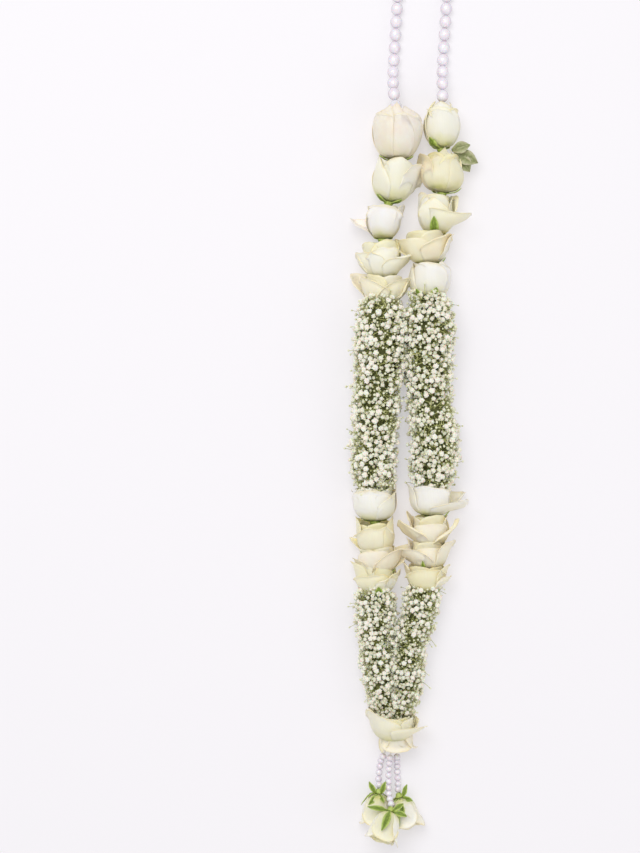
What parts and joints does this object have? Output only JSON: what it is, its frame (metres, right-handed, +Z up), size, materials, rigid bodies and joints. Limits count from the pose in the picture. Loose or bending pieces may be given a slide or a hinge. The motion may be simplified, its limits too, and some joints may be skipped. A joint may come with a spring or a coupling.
{
  "type": "flower garland",
  "caption": "Long looped garland of white roses, baby's breath and faux pearls on cotton thread, with a short three-string tassel, laid flat.",
  "frame": {"origin": "on the surface that the garland lies on, under the middle of its bounding box", "axes": "+Z up from the surface, +Y along the garland towards the neck loop, +X towards the strand on the right as seen from above with the neck loop at the top"},
  "size_m": [0.1339, 0.9394, 0.057],
  "materials": {
    "cream_petal": "fresh cream-white rose petal, soft matt with a faint silky sheen, greener towards the base",
    "blush_petal": "cream rose petal with a faint pink-beige blush at the rim, soft matt",
    "calyx_green": "fresh green sepal, semi-matt",
    "babys_breath": "tiny white double florets and pale green buds over fine olive stems, matt",
    "faux_pearl": "lilac-white pearlised plastic, glossy",
    "cotton_thread": "twisted white cotton, matt"
  },
  "bodies": {
    "root": {"babys_breath_lower_left": "babys_breath", "babys_breath_lower_right": "babys_breath", "babys_breath_upper_left": "babys_breath", "babys_breath_upper_right": "babys_breath", "calyx_left_1": "calyx_green", "calyx_left_2": "calyx_green", "calyx_left_3": "calyx_green", "calyx_left_4": "calyx_green", "calyx_left_5": "calyx_green", "calyx_middle_left_1": "calyx_green", "calyx_middle_left_2": "calyx_green", "calyx_middle_left_3": "calyx_green", "calyx_middle_left_4": "calyx_green", "calyx_middle_right_1": "calyx_green", "calyx_middle_right_2": "calyx_green", "calyx_middle_right_3": "calyx_green", "calyx_middle_right_4": "calyx_green", "calyx_right_1": "calyx_green", "calyx_right_2": "calyx_green", "calyx_right_3": "calyx_green", "calyx_right_4": "calyx_green", "calyx_right_5": "calyx_green", "calyx_tassel_front": "calyx_green", "calyx_tassel_left": "calyx_green", "calyx_tassel_right": "calyx_green", "pearls_neck": "faux_pearl", "pearls_tassel_front": "faux_pearl", "pearls_tassel_left": "faux_pearl", "pearls_tassel_right": "faux_pearl", "rose_join_lower": "cream_petal", "rose_join_upper": "cream_petal", "rose_left_1": "blush_petal", "rose_left_2": "cream_petal", "rose_left_3": "cream_petal", "rose_left_4": "cream_petal", "rose_left_5": "cream_petal", "rose_middle_left_1": "cream_petal", "rose_middle_left_2": "cream_petal", "rose_middle_left_3": "blush_petal", "rose_middle_left_4": "cream_petal", "rose_middle_right_1": "cream_petal", "rose_middle_right_2": "blush_petal", "rose_middle_right_3": "blush_petal", "rose_middle_right_4": "cream_petal", "rose_right_1": "cream_petal", "rose_right_2": "cream_petal", "rose_right_3": "cream_petal", "rose_right_4": "cream_petal", "rose_right_5": "cream_petal", "rose_tassel_front": "cream_petal", "rose_tassel_left": "cream_petal", "rose_tassel_right": "cream_petal", "thread_loop": "cotton_thread", "thread_tassel_front": "cotton_thread", "thread_tassel_left": "cotton_thread", "thread_tassel_right": "cotton_thread"}
  },
  "joints": []
}
